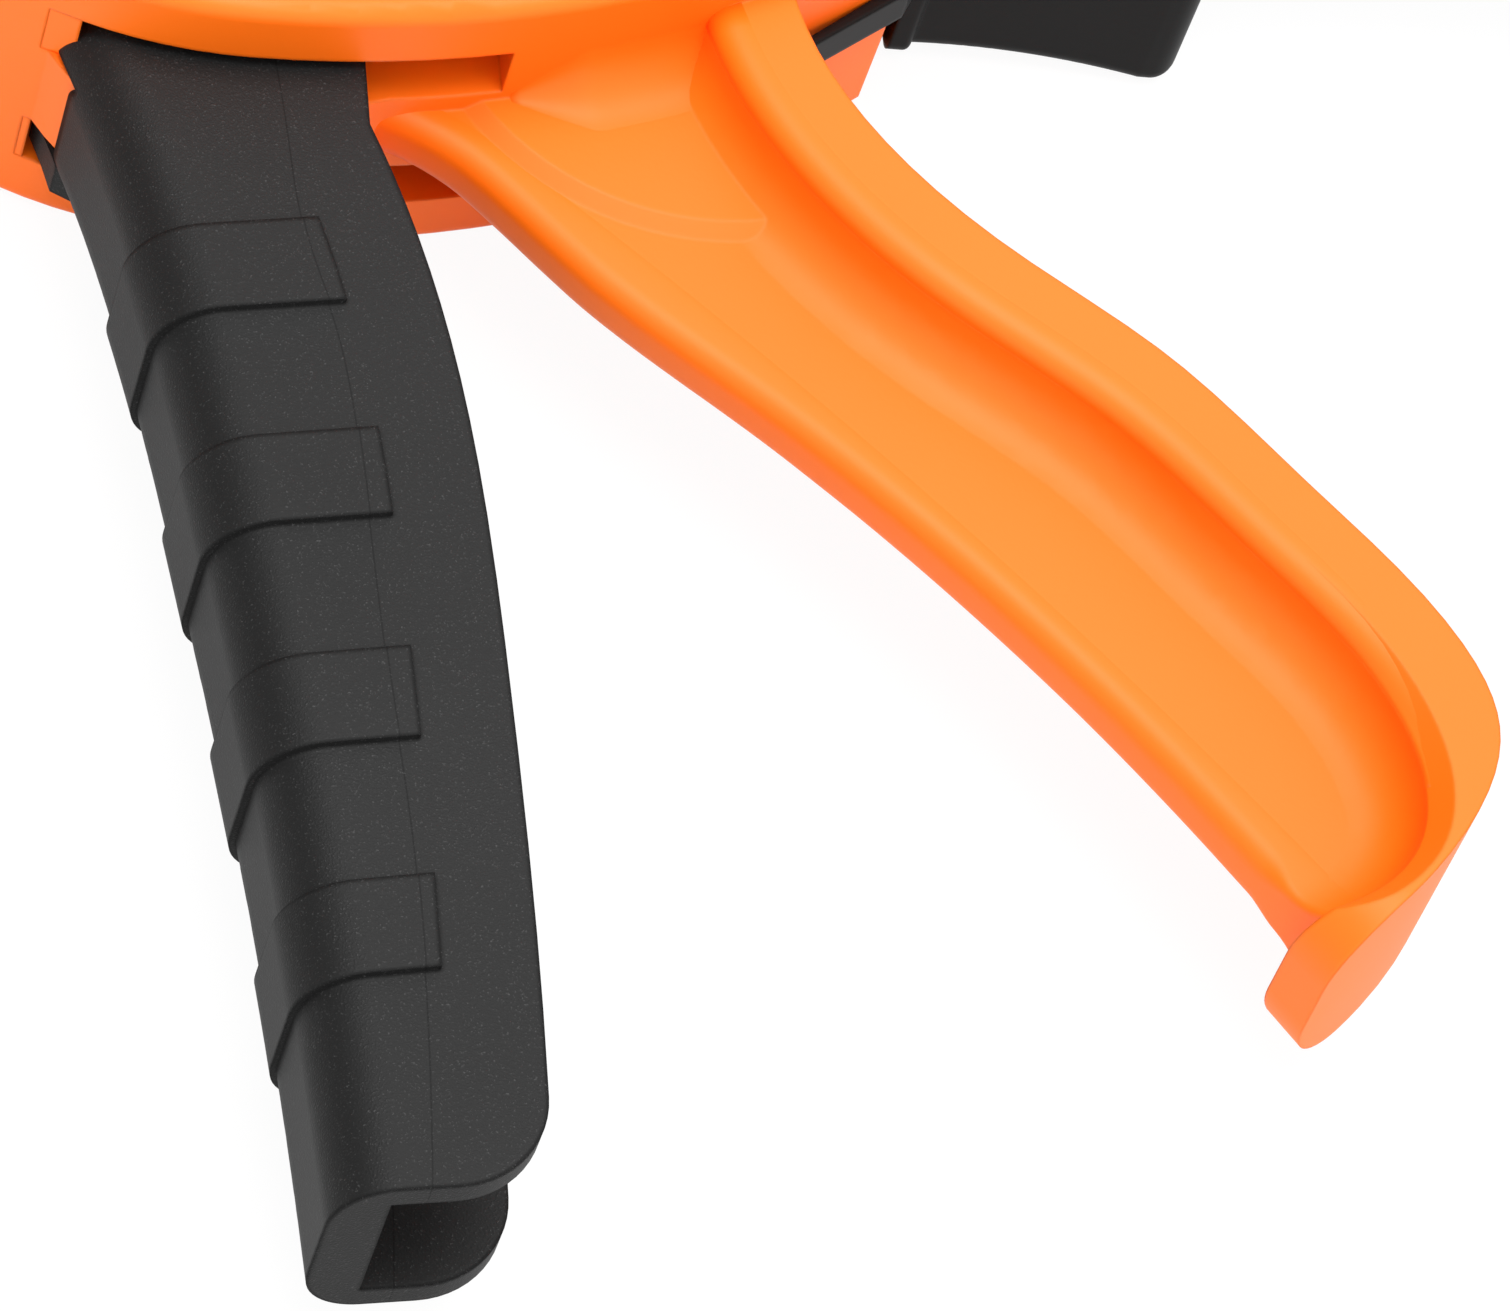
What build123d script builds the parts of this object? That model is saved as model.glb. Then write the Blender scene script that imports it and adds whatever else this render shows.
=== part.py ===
from build123d import *
import os
from math import asin, cos, degrees, radians, sin, tan

# Quick release bar clamp, in millimetres.
# The origin is the centre of the moving jaw's gripping face. X runs along the bar towards the
# fixed jaw, Y from the handles towards the jaw tips, and Z across the clamp, which is
# symmetrical about Z = 0 apart from its pins and its lock button.

# ---- driving dimensions ----

# bar
BAR_THICK = 6.0
BAR_DEPTH = 19.0
BAR_LENGTH = 505.0
BAR_Y = -28.5                # centre line of the bar
BAR_CLEARANCE = 0.3          # running gap each side of the bar
BAR_EDGE = 0.6
JAW_OPENING = 150.0          # gap between the pads as drawn

# jaw pads
PAD_HEIGHT = 89.0
PAD_WIDTH = 33.6
PAD_CORNER = 1.6
PAD_SLOT = 1.0               # extra gap round the bar in the pad
PAD_REACH = 28.5             # from the jaw's front to the gripping face
PAD_BEAD = 2.3               # length of the bead round the pad's base
PAD_WAIST = 1.0              # how far the sides pull in behind the face
PAD_SEAT_GAP = 0.06          # between the pad's tongue and the body
PAD_EDGE = 2.4               # rounding of the gripping face's edge
TONGUE_REACH = 10.0          # how far the pad's tongue runs back under the body
TONGUE_WIDTH = 4.0
TONGUE_THICK = 1.2
CORE_HEIGHT = 34.0           # boss of the jaw inside the pad
CORE_WIDTH = 18.0
CORE_REACH = 13.0
CORE_Y = 14.0                # middle of that boss

# housing
BODY_WIDTH = 34.0
BODY_REAR_X = -133.0
BODY_TOP_Y = -1.0
BELLY_X = -95.5              # lowest point of the side walls
BELLY_Y = -71.8
BELLY_FRONT_RADIUS = 103.0
BELLY_REAR_RADIUS = 45.0
HEEL_X = -119.0              # where the belly's rear arc runs out into a straight heel
FRONT_TOE = 3.2              # how far the belly starts behind the jaw's front
TOE_RISE = 8.0
JAW_TIP_DEPTH = 11.0         # depth of the jaw's column at its tip
COLUMN_FOOT_X = -55.0        # where the column's back meets the body's top
COLUMN_WAIST = 16.5          # depth of the column at mid height
COLUMN_WAIST_Y = 17.0
RIM_RADIUS = 1.6
CORNER_RADIUS = 7.0
MID_WEB = 10.0               # thickness of the web between the lever's ears
MID_WEB_REACH = 23.5         # radius of that web about the lever's pivot
SLOT_REAR_X = -113.2
SLOT_FRONT_X = -71.5

# squeeze lever
LEVER_WIDTH = 19.0
LEVER_WALL = 2.5
LEVER_SPINE = 5.0
LEVER_CORNER = 5.5
LEVER_LENGTH = 129.6         # from the pivot down to the foot
LEVER_END_RADIUS = 9.0
EAR_CORNER = 1.0
EAR_GAP = 0.5                # between an ear and the middle web
SLOT_CLEARANCE = 1.1         # between the lever's side and the side wall
PIVOT_X = -92.0
PIVOT_Y = -57.0
PIVOT_RADIUS = 3.0
PIVOT_FIT = 0.05             # radial running fit of the lever on its pin
HUB_RADIUS = 7.0
NOSE_ARM = 9.0               # from the pivot to the nose that pushes the plates
NOSE_RADIUS = 3.0
FORK_CLEARANCE = 0.8         # between the spine's top and the middle web
RIB_COUNT = 4
RIB_PITCH = 22.8
RIB_HEIGHT = 9.0
RIB_RAISE = 0.6
RIB_FIRST_Y = -93.3
RIB_MARGIN = 8.4             # from the lever's front edge to the ends of the ribs
RIB_LEAN = 9.5               # degrees that the ribs slope up towards the front

# handle
HANDLE_WIDTH = 22.0
HANDLE_WEB = 6.0
FLANGE_THICK = 8.2
LIP_THICK = 4.8
FLANGE_BEVEL = 1.8           # depth of the bevel along the flange's inner edge
FLANGE_BEVEL_RUN = 2.2
LIP_CORNER = 8.0
HANDLE_ROOT = (-45.5, -56.0)
LIP_END = (-4.6, -158.2)
LIP_WEB = 0.955              # share of the flange's length at which its web ends
PALM_COVE = 5.4              # concave radius between the flange and the web
COVE_SINK = 0.3              # how far the cove reaches into both
WEB_ROUND = 2.2              # rounding of the web's free edge
WEB_REAR_TOP = (-86.0, -70.0)
WEB_REAR_BEND = (-74.6, -75.4)
WEB_REAR_MIDDLE = (-40.5, -107.7)
STEP_WEB = 8.0               # thickness of the web above its step
STEP_RUN = 1.6
SHELF = ((-86.0, -72.3), (-77.6, -69.4), (-73.0, -66.0))
STEP_REAR = (-76.5, -66.0)
STEP_LOW = (-55.5, -82.3)
STEP_FRONT = (-36.5, -76.5)

# drive
PLATE_THICK = 3.0
PLATE_WIDTH = 22.0
PLATE_HEIGHT = 43.0
PLATE_CORNER = 3.0
PLATE_GAP = 0.4
CONTACT_GAP = 0.3            # between the lever's nose and the front plate
DRIVE_WIRE = 1.6
DRIVE_COILS = 4

# brake
BRAKE_X = -74.0
BRAKE_Y = -46.0
BRAKE_THICK = 4.0
BRAKE_WIDTH = 20.0
BRAKE_TONGUE = 10.0          # width of the plate where it stands out of the body
BRAKE_TILT = 8.0             # degrees forward at rest
BRAKE_HOLE_EXTRA = 1.6       # extra height of its bar hole
BRAKE_EYE = 4.3
ANCHOR_RADIUS = 2.0
BUTTON_HEIGHT = 12.0
BUTTON_LENGTH = 13.0
BUTTON_WIDTH = 16.0
BUTTON_GAP = 0.8
BUTTON_EDGE = 2.0
WINDOW_CLEARANCE = 1.0
BRAKE_WIRE = 1.0
BRAKE_SPRING_RADIUS = 3.6
BRAKE_SPRING_Y = -12.3
BRAKE_COILS = 5
SPRING_RIB = 3.0

# chamber, its rear cap and the bar guide
CHAMBER_WIDTH = 26.0
CHAMBER_CLEARANCE = 1.5      # above and below the drive plates
CHAMBER_FRONT_X = -47.0
CAP_LENGTH = 8.0
CAP_PIN_RADIUS = 1.5
PIN_RECESS = 0.3             # how far pin ends lie under the side faces
GUIDE_LENGTH = 6.0
GUIDE_WALL = 3.5
CLIP_RADIUS = 6.0
CLIP_THICK = 1.0
CLIP_RECESS = 2.0

# fixed jaw and its lock
JAW_BACK_DEPTH = 36.0        # depth of the jaw round the bar
JAW_FLOOR_Y = -50.0
BAR_SOCKET_WALL = 6.0
LOCK_SETBACK = 14.0          # from the bar's front end to the lock pin
LOCK_RADIUS = 3.5
LOCK_HEAD_RADIUS = 7.0
LOCK_HEAD = 3.0
LOCK_STROKE = 3.0
LOCK_SPRING_LENGTH = 6.5
LOCK_RUN = 0.3               # gap round the lock pin and its head
LOCK_WIRE = 0.9
LOCK_COILS = 4

# bar end cap
END_CAP_LENGTH = 15.0
END_CAP_WALL = 3.5
END_PIN_RADIUS = 2.0

# ---- places worked out from them ----

jaw_front_x = -PAD_REACH
jaw_top_y = PAD_HEIGHT / 2
toe_x = jaw_front_x - FRONT_TOE
toe_turn = degrees(asin((toe_x - BELLY_X) / BELLY_FRONT_RADIUS))
toe_low_y = BELLY_Y + BELLY_FRONT_RADIUS * (1 - cos(radians(toe_turn)))
pivot = (PIVOT_X, PIVOT_Y)
nose = (PIVOT_X, PIVOT_Y + NOSE_ARM)
half_body = BODY_WIDTH / 2
half_lever = LEVER_WIDTH / 2
fork_radius = MID_WEB_REACH + FORK_CLEARANCE
plate_front_x = PIVOT_X - NOSE_RADIUS - CONTACT_GAP
plate_pitch = PLATE_THICK + PLATE_GAP
plates_rear_x = plate_front_x - plate_pitch - PLATE_THICK
chamber_floor_y = BAR_Y - PLATE_HEIGHT / 2 - CHAMBER_CLEARANCE
chamber_top_y = BAR_Y + PLATE_HEIGHT / 2 + CHAMBER_CLEARANCE
cap_front_x = BODY_REAR_X + CAP_LENGTH
spring_rib_x = plate_front_x + PLATE_GAP
fixed_base_x = JAW_OPENING + PAD_REACH
fixed_back_x = fixed_base_x + JAW_BACK_DEPTH
bar_front_x = fixed_back_x - BAR_SOCKET_WALL
bar_rear_x = bar_front_x - BAR_LENGTH
lock_x = bar_front_x - LOCK_SETBACK
lock_floor_z = half_body - LOCK_HEAD - LOCK_SPRING_LENGTH


def across(x):
    """Plane across the bar at x, centred on the bar, its own X axis along the model's Y."""
    return Plane(origin=(x, BAR_Y, 0), x_dir=(0, 1, 0), z_dir=(1, 0, 0))


def bar_outline(clearance=0, mode=Mode.ADD):
    """Section of the bar with the given gap all round."""
    Rectangle(BAR_DEPTH + 2 * clearance, BAR_THICK + 2 * clearance, mode=mode)


def inset(curve, share, distance):
    """Point on the right of a curve, a distance in from the given share of its length."""
    here = curve @ share
    along = curve % share
    return (here.X + along.Y * distance, here.Y - along.X * distance)


def round_bar(radius, centre, low, high, mode=Mode.ADD):
    """Cylinder along Z between two heights."""
    with BuildSketch(Plane.XY.offset(low)) as disc:
        with Locations(centre):
            Circle(radius)
    extrude(disc.sketch, amount=high - low, mode=mode)


# ---- fixed handle: a thin web inside a broad front flange that wraps round its tip ----


def flange_front():
    """Outer curve of the flange, from the body to the end of the lip."""
    return Spline(HANDLE_ROOT, (-39.6, -73.5), (-27.2, -87.0), (-14.0, -97.4), (-2.5, -110.3),
                  (8.4, -124.1), (12.0, -134.5), (8.6, -144.4), LIP_END)


def flange_back(outer):
    """Inner curve of the flange, nearer to the outer one along the lip."""
    palm = [inset(outer, share, FLANGE_THICK) for share in (0, 0.14, 0.28, 0.42, 0.56, 0.67)]
    return Spline(*palm, inset(outer, 0.84, LIP_THICK), inset(outer, 1, LIP_THICK))


front = flange_front()
inner = flange_back(front)
lip_middle = inset(front, LIP_WEB, LIP_THICK / 2)
along = front % 1

with BuildPart() as palm_web:
    with BuildSketch(Plane.XY):
        with BuildLine():
            rear_edge = ThreePointArc(WEB_REAR_BEND, WEB_REAR_MIDDLE, lip_middle)
            TangentArc(WEB_REAR_BEND, WEB_REAR_TOP, tangent=(rear_edge % 0) * -1)
            Line(lip_middle, front @ 1)
            flange_front()
            Polyline(front @ 0, (WEB_REAR_TOP[0], HANDLE_ROOT[1]), WEB_REAR_TOP)
        make_face()
    extrude(amount=HANDLE_WEB / 2, both=True)
    free_edges = palm_web.faces().filter_by(Axis.Z).edges().filter_by(GeomType.CIRCLE)
    fillet(free_edges, WEB_ROUND)

with BuildPart() as palm_cove:
    root = inner % 0
    with BuildLine() as palm_wall:
        flange_back(front)
    with BuildSketch(Plane(inner @ 0, x_dir=(root.Y, -root.X, 0), z_dir=root * -1)) as hollow:
        with BuildLine():
            rise = HANDLE_WEB / 2
            middle = PALM_COVE * (1 - cos(radians(45)))
            ThreePointArc((0, rise + PALM_COVE), (middle, rise + middle), (PALM_COVE, rise))
            Polyline((PALM_COVE, rise), (PALM_COVE, rise - COVE_SINK),
                     (-COVE_SINK, rise - COVE_SINK), (-COVE_SINK, rise + PALM_COVE),
                     (0, rise + PALM_COVE))
        make_face()
    sweep(hollow.sketch, path=palm_wall.line)
    mirror(about=Plane.XY)
    with BuildSketch(Plane.XY):
        with BuildLine():
            ThreePointArc(WEB_REAR_BEND, WEB_REAR_MIDDLE, lip_middle)
            Line(lip_middle, front @ 1)
            flange_front()
            Line(front @ 0, WEB_REAR_BEND)
        make_face()
    extrude(amount=BODY_WIDTH, both=True, mode=Mode.INTERSECT)

with BuildPart() as web_step:
    with BuildSketch(Plane.XY):
        with BuildLine():
            step_edge = ThreePointArc(STEP_REAR, STEP_LOW, STEP_FRONT)
            Polyline(STEP_FRONT, HANDLE_ROOT, STEP_REAR)
        make_face()
    extrude(amount=STEP_WEB / 2, both=True)
    step_rims = web_step.faces().filter_by(Axis.Z).edges().filter_by(GeomType.CIRCLE)
    chamfer(step_rims, length=(STEP_WEB - HANDLE_WEB) / 2, length2=STEP_RUN)

with BuildPart() as handle:
    with BuildSketch(Plane.XY):
        with BuildLine():
            flange_front()
            flange_back(front)
            Line(front @ 0, inner @ 0)
            Line(front @ 1, inner @ 1)
        make_face()
    extrude(amount=HANDLE_WIDTH / 2, both=True)
    side_edges = handle.faces().filter_by(Axis.Z).edges()
    chamfer(side_edges.sort_by_distance(inner @ 0.5)[0:2], length=FLANGE_BEVEL,
            length2=FLANGE_BEVEL_RUN)
    add(palm_web.part)
    add(palm_cove.part)
    add(web_step.part)
    with BuildSketch(Plane(front @ 1, x_dir=(0, 0, 1), z_dir=(along.Y, -along.X, 0))):
        Rectangle(HANDLE_WIDTH + LIP_THICK, 2 * LIP_CORNER)
        RectangleRounded(HANDLE_WIDTH, 4 * LIP_CORNER, LIP_CORNER,
                         align=(Align.CENTER, Align.MIN), mode=Mode.SUBTRACT)
    extrude(amount=2 * LIP_THICK, both=True, mode=Mode.SUBTRACT)

# ---- housing: body, middle web, moving jaw and fixed handle in one moulding ----

def column_outline(front_x, foot, side):
    """Tip and hollow back of a jaw's column; side is -1 behind its front, 1 beyond it."""
    tip_back = (front_x + side * JAW_TIP_DEPTH, jaw_top_y)
    Line((front_x, jaw_top_y), tip_back)
    ThreePointArc(tip_back, (front_x + side * COLUMN_WAIST, COLUMN_WAIST_Y), foot)


def pad_core(front_x, reach):
    """Boss on the front of a jaw that its pad is pushed on to."""
    with BuildSketch(Plane.YZ.offset(front_x)) as core:
        with Locations((CORE_Y, 0)):
            RectangleRounded(CORE_HEIGHT, CORE_WIDTH, CORE_WIDTH / 6)
    extrude(core.sketch, amount=reach)


with BuildPart() as housing:
    with BuildSketch(Plane.XY):
        with BuildLine():
            heel_turn = degrees(asin((BELLY_X - HEEL_X) / BELLY_REAR_RADIUS))
            belly = JernArc((BELLY_X, BELLY_Y), (1, 0), BELLY_FRONT_RADIUS, toe_turn)
            heel = JernArc((BELLY_X, BELLY_Y), (-1, 0), BELLY_REAR_RADIUS, -heel_turn)
            heel_rise = (HEEL_X - BODY_REAR_X) * tan(radians(heel_turn))
            heel_end = (BODY_REAR_X, (heel @ 1).Y + heel_rise)
            toe = Line(belly @ 1, (jaw_front_x, (belly @ 1).Y + TOE_RISE))
            Line(toe @ 1, (jaw_front_x, jaw_top_y))
            column_outline(jaw_front_x, (COLUMN_FOOT_X, BODY_TOP_Y), -1)
            Line((COLUMN_FOOT_X, BODY_TOP_Y), (BODY_REAR_X, BODY_TOP_Y))
            Line((BODY_REAR_X, BODY_TOP_Y), heel_end)
            Line(heel_end, heel @ 1)
        make_face()
        fillet(vertices().group_by(Axis.Y)[-1].sort_by(Axis.X)[0], JAW_TIP_DEPTH * 0.6)
        fillet(vertices().group_by(Axis.X)[0], CORNER_RADIUS)
    extrude(amount=half_body, both=True)
    rim = housing.faces().filter_by(Axis.Z).edges()
    fillet(rim.filter_by(lambda edge: edge.center().X < toe_x - 0.1), RIM_RADIUS)
    pad_core(jaw_front_x, CORE_REACH)

    add(handle.part)
    with BuildSketch(Plane.XY):
        with Locations(pivot):
            Circle(MID_WEB_REACH)
        with Locations((PIVOT_X + HUB_RADIUS, PIVOT_Y)):
            Rectangle(MID_WEB_REACH, 2 * MID_WEB_REACH, align=(Align.MIN, Align.CENTER),
                      mode=Mode.SUBTRACT)
    extrude(amount=MID_WEB / 2, both=True)

    with BuildSketch(Plane.XY):
        Polygon(*SHELF, (SHELF[2][0], chamber_floor_y), (SHELF[0][0], chamber_floor_y),
                align=None)
    extrude(amount=MID_WEB / 2, both=True)

    # slots for the lever's ears, one each side of the middle web
    for side in (1, -1):
        with BuildSketch(Plane.XY.offset(side * MID_WEB / 2)):
            with Locations((SLOT_REAR_X, BELLY_Y - 1)):
                Rectangle(SLOT_FRONT_X - SLOT_REAR_X, chamber_floor_y - BELLY_Y + 2,
                          align=(Align.MIN, Align.MIN))
        extrude(amount=side * (half_lever + SLOT_CLEARANCE - MID_WEB / 2), mode=Mode.SUBTRACT)

    # chamber for the plates, open to the rear, with a rib that the brake spring pushes from
    with BuildSketch(Plane.XY):
        with Locations((BODY_REAR_X, chamber_floor_y)):
            Rectangle(CHAMBER_FRONT_X - BODY_REAR_X, chamber_top_y - chamber_floor_y,
                      align=(Align.MIN, Align.MIN))
        with Locations((spring_rib_x, chamber_top_y)):
            Rectangle(SPRING_RIB, chamber_top_y - BRAKE_SPRING_Y + BRAKE_SPRING_RADIUS,
                      align=(Align.MIN, Align.MAX), mode=Mode.SUBTRACT)
    extrude(amount=CHAMBER_WIDTH / 2, both=True, mode=Mode.SUBTRACT)

    # window in the top for the brake plate
    with BuildSketch(Plane.XZ.offset(-chamber_top_y + 1)):
        window_rear_x = BRAKE_X - BRAKE_THICK / 2 - WINDOW_CLEARANCE
        window_front_x = BRAKE_X + (BODY_TOP_Y - BRAKE_Y) * tan(radians(BRAKE_TILT))
        window_front_x += BRAKE_THICK / 2 + WINDOW_CLEARANCE
        with Locations((window_rear_x, 0)):
            Rectangle(window_front_x - window_rear_x, BRAKE_TONGUE + 2 * WINDOW_CLEARANCE,
                      align=(Align.MIN, Align.CENTER))
    extrude(amount=-(BODY_TOP_Y - chamber_top_y + 2), mode=Mode.SUBTRACT)

    # way through for the bar, with a seat for its guide
    with BuildSketch(across(CHAMBER_FRONT_X)):
        bar_outline(BAR_CLEARANCE)
    extrude(amount=jaw_front_x - CHAMBER_FRONT_X + CORE_REACH, mode=Mode.SUBTRACT)
    with BuildSketch(across(CHAMBER_FRONT_X)):
        bar_outline(BAR_CLEARANCE + GUIDE_WALL)
    extrude(amount=GUIDE_LENGTH, mode=Mode.SUBTRACT)

    # bores for the pins, and recesses for the pivot's clips
    round_bar(PIVOT_RADIUS, pivot, -half_body, half_body, Mode.SUBTRACT)
    round_bar(ANCHOR_RADIUS, (BRAKE_X, BRAKE_Y), -half_body, half_body, Mode.SUBTRACT)
    for side in (1, -1):
        with BuildSketch(Plane.XY.offset(side * half_body)):
            with Locations(pivot):
                Circle(CLIP_RADIUS + CONTACT_GAP)
        extrude(amount=-side * CLIP_RECESS, mode=Mode.SUBTRACT)
    cap_pin_places = [
        (BODY_REAR_X + CAP_LENGTH / 2, chamber_floor_y + 2 * CAP_PIN_RADIUS),
        (BODY_REAR_X + CAP_LENGTH / 2, chamber_top_y - 2 * CAP_PIN_RADIUS),
    ]
    for place in cap_pin_places:
        round_bar(CAP_PIN_RADIUS, place, -half_body, half_body, Mode.SUBTRACT)

# ---- rear cap that closes the chamber, its pins, and the front bar guide ----

with BuildPart() as rear_cap:
    with BuildSketch(Plane.YZ.offset(BODY_REAR_X)):
        with Locations(((chamber_floor_y + chamber_top_y) / 2, 0)):
            Rectangle(chamber_top_y - chamber_floor_y, CHAMBER_WIDTH)
    extrude(amount=CAP_LENGTH)
    with BuildSketch(across(BODY_REAR_X)):
        bar_outline(BAR_CLEARANCE)
    extrude(amount=CAP_LENGTH, mode=Mode.SUBTRACT)
    for place in cap_pin_places:
        round_bar(CAP_PIN_RADIUS, place, -half_body, half_body, Mode.SUBTRACT)

with BuildPart() as rear_cap_pins:
    for place in cap_pin_places:
        round_bar(CAP_PIN_RADIUS, place, PIN_RECESS - half_body, half_body - PIN_RECESS)

with BuildPart() as front_bar_guide:
    with BuildSketch(across(CHAMBER_FRONT_X)):
        bar_outline(BAR_CLEARANCE + GUIDE_WALL)
        bar_outline(BAR_CLEARANCE, Mode.SUBTRACT)
    extrude(amount=GUIDE_LENGTH)

# ---- squeeze lever: a U channel with ribs round its spine and two ears on a pivot ----


def below_pivot(ahead, share):
    """Point ahead of the lever's pivot, a share of the lever's length below it."""
    return (PIVOT_X + ahead, PIVOT_Y - share * LEVER_LENGTH)


back = Spline(below_pivot(-20, 0.09), below_pivot(-17.2, 0.158), below_pivot(-10.4, 0.409),
              below_pivot(-4, 0.752), below_pivot(-1.2, 1))
fore = Spline(below_pivot(16.8, 0.983), below_pivot(17, 0.856), below_pivot(16.2, 0.606),
              below_pivot(12.4, 0.302), below_pivot(7.2, 0.157))
ear_top = below_pivot(-14.5, 0.005)

with BuildPart() as lever_ribs:
    with BuildSketch(Plane.XY):
        with BuildLine():
            rib_back = Spline(*[inset(back, share / 4, RIB_RAISE) for share in range(5)])
            rib_front = Spline(*[inset(fore, share / 4, -RIB_MARGIN) for share in range(5)])
            Line(rib_back @ 0, rib_front @ 1)
            Line(rib_back @ 1, rib_front @ 0)
        make_face()
    extrude(amount=half_lever + RIB_RAISE, both=True)
    rib_edges = lever_ribs.faces().filter_by(Axis.Z).edges()
    rib_edges = rib_edges.filter_by(lambda edge: edge.length > LEVER_LENGTH / 2)
    fillet(rib_edges.sort_by(Axis.X)[0:2], LEVER_CORNER + RIB_RAISE)
    with BuildSketch(Plane.XY):
        for index in range(RIB_COUNT):
            with Locations((PIVOT_X, RIB_FIRST_Y - index * RIB_PITCH)):
                Rectangle(2 * HUB_RADIUS + LEVER_WIDTH * 2, RIB_HEIGHT, rotation=RIB_LEAN)
    extrude(amount=BODY_WIDTH, both=True, mode=Mode.INTERSECT)

with BuildPart() as squeeze_lever:
    with BuildSketch(Plane.XY):
        with BuildLine():
            add(back)
            Line(back @ 1, fore @ 0)
            add(fore)
            Polyline(fore @ 1, below_pivot(HUB_RADIUS, 0), ear_top, back @ 0)
        make_face()
        fillet(vertices().sort_by_distance(fore @ 0)[0], LEVER_END_RADIUS)
        fillet(vertices().sort_by_distance(back @ 0)[0], EAR_CORNER)
    extrude(amount=half_lever, both=True)
    spine_edges = squeeze_lever.faces().filter_by(Axis.Z).edges()
    spine_edges = spine_edges.filter_by(lambda edge: edge.length > LEVER_LENGTH / 2)
    fillet(spine_edges.sort_by(Axis.X)[0:2], LEVER_CORNER)
    with BuildSketch(Plane.XY):
        with Locations(pivot):
            Circle(HUB_RADIUS)
        with Locations(nose):
            Circle(NOSE_RADIUS)
        with Locations(pivot):
            Rectangle(2 * NOSE_RADIUS, NOSE_ARM, align=(Align.CENTER, Align.MIN))
    extrude(amount=half_lever, both=True)
    add(lever_ribs.part)

    # channel, open in front and below, and the gap between the ears
    with BuildSketch(Plane.XY):
        with BuildLine():
            hollow = Spline(*[inset(back, share / 4, -LEVER_SPINE) for share in range(5)])
            Polyline(hollow @ 0, (PIVOT_X + 3 * LEVER_WIDTH, (hollow @ 0).Y),
                     (PIVOT_X + 3 * LEVER_WIDTH, (hollow @ 1).Y - LEVER_SPINE),
                     ((hollow @ 1).X, (hollow @ 1).Y - LEVER_SPINE), hollow @ 1)
        make_face()
        with Locations(pivot):
            Circle(fork_radius, mode=Mode.SUBTRACT)
    extrude(amount=half_lever - LEVER_WALL, both=True, mode=Mode.SUBTRACT)
    with BuildSketch(Plane.XY):
        with Locations(pivot):
            Circle(fork_radius)
    extrude(amount=MID_WEB / 2 + EAR_GAP, both=True, mode=Mode.SUBTRACT)
    round_bar(PIVOT_RADIUS + PIVOT_FIT, pivot, -half_lever, half_lever, Mode.SUBTRACT)

with BuildPart() as lever_pivot_pin:
    round_bar(PIVOT_RADIUS, pivot, PIN_RECESS - half_body, half_body - PIN_RECESS)

with BuildPart() as pivot_clips:
    for side in (1, -1):
        with BuildSketch(Plane.XY.offset(side * (half_body - CLIP_RECESS))):
            with Locations(pivot):
                Circle(CLIP_RADIUS)
                Circle(PIVOT_RADIUS, mode=Mode.SUBTRACT)
        extrude(amount=side * CLIP_THICK)

# ---- drive: two plates that grip the bar, and the spring that returns them ----


def drive_plate(front_x):
    """Plate round the bar, its front face at front_x."""
    with BuildPart() as plate:
        with BuildSketch(across(front_x - PLATE_THICK)):
            RectangleRounded(PLATE_HEIGHT, PLATE_WIDTH, PLATE_CORNER)
            bar_outline(BAR_CLEARANCE, Mode.SUBTRACT)
        extrude(amount=PLATE_THICK)
    return plate


def coil(start, direction, length, radius, wire, turns):
    """Open coil spring with its wire wholly between start and the far end."""
    with BuildPart() as spring:
        pitch = (length - wire) / turns
        axis = Vector(*direction)
        begin = Vector(*start) + axis * (wire / 2)
        with BuildLine():
            path = Helix(pitch=pitch, height=length - wire, radius=radius,
                         center=begin, direction=direction)
        with BuildSketch(Plane(origin=path @ 0, z_dir=path % 0)):
            RegularPolygon(wire / 2, 6)
        sweep(is_frenet=True)
    return spring


drive_plate_front = drive_plate(plate_front_x)
drive_plate_rear = drive_plate(plate_front_x - plate_pitch)
drive_spring_radius = (BAR_DEPTH**2 + BAR_THICK**2) ** 0.5 / 2 + DRIVE_WIRE / 2 + 0.3
drive_spring = coil((cap_front_x, BAR_Y, 0), (1, 0, 0), plates_rear_x - cap_front_x - 0.1,
                    drive_spring_radius, DRIVE_WIRE, DRIVE_COILS)

# ---- brake: a tilted plate hung on a pin, its spring and the release button ----

tilt = radians(BRAKE_TILT)
brake_frame = Plane(origin=(BRAKE_X, BRAKE_Y, 0), x_dir=(cos(tilt), -sin(tilt), 0),
                    z_dir=(0, 0, 1))
button_start = (BODY_TOP_Y - BRAKE_Y + BUTTON_GAP + BUTTON_LENGTH / 2 * sin(tilt)) / cos(tilt)
plate_reach = button_start + BUTTON_HEIGHT * 0.6
bar_height = (BAR_Y - BRAKE_Y) / cos(tilt)
shoulder = (chamber_top_y - BRAKE_Y) * cos(tilt) - CHAMBER_CLEARANCE
hole_height = BAR_DEPTH / cos(tilt) + BRAKE_THICK * tan(tilt) + BRAKE_HOLE_EXTRA

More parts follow.
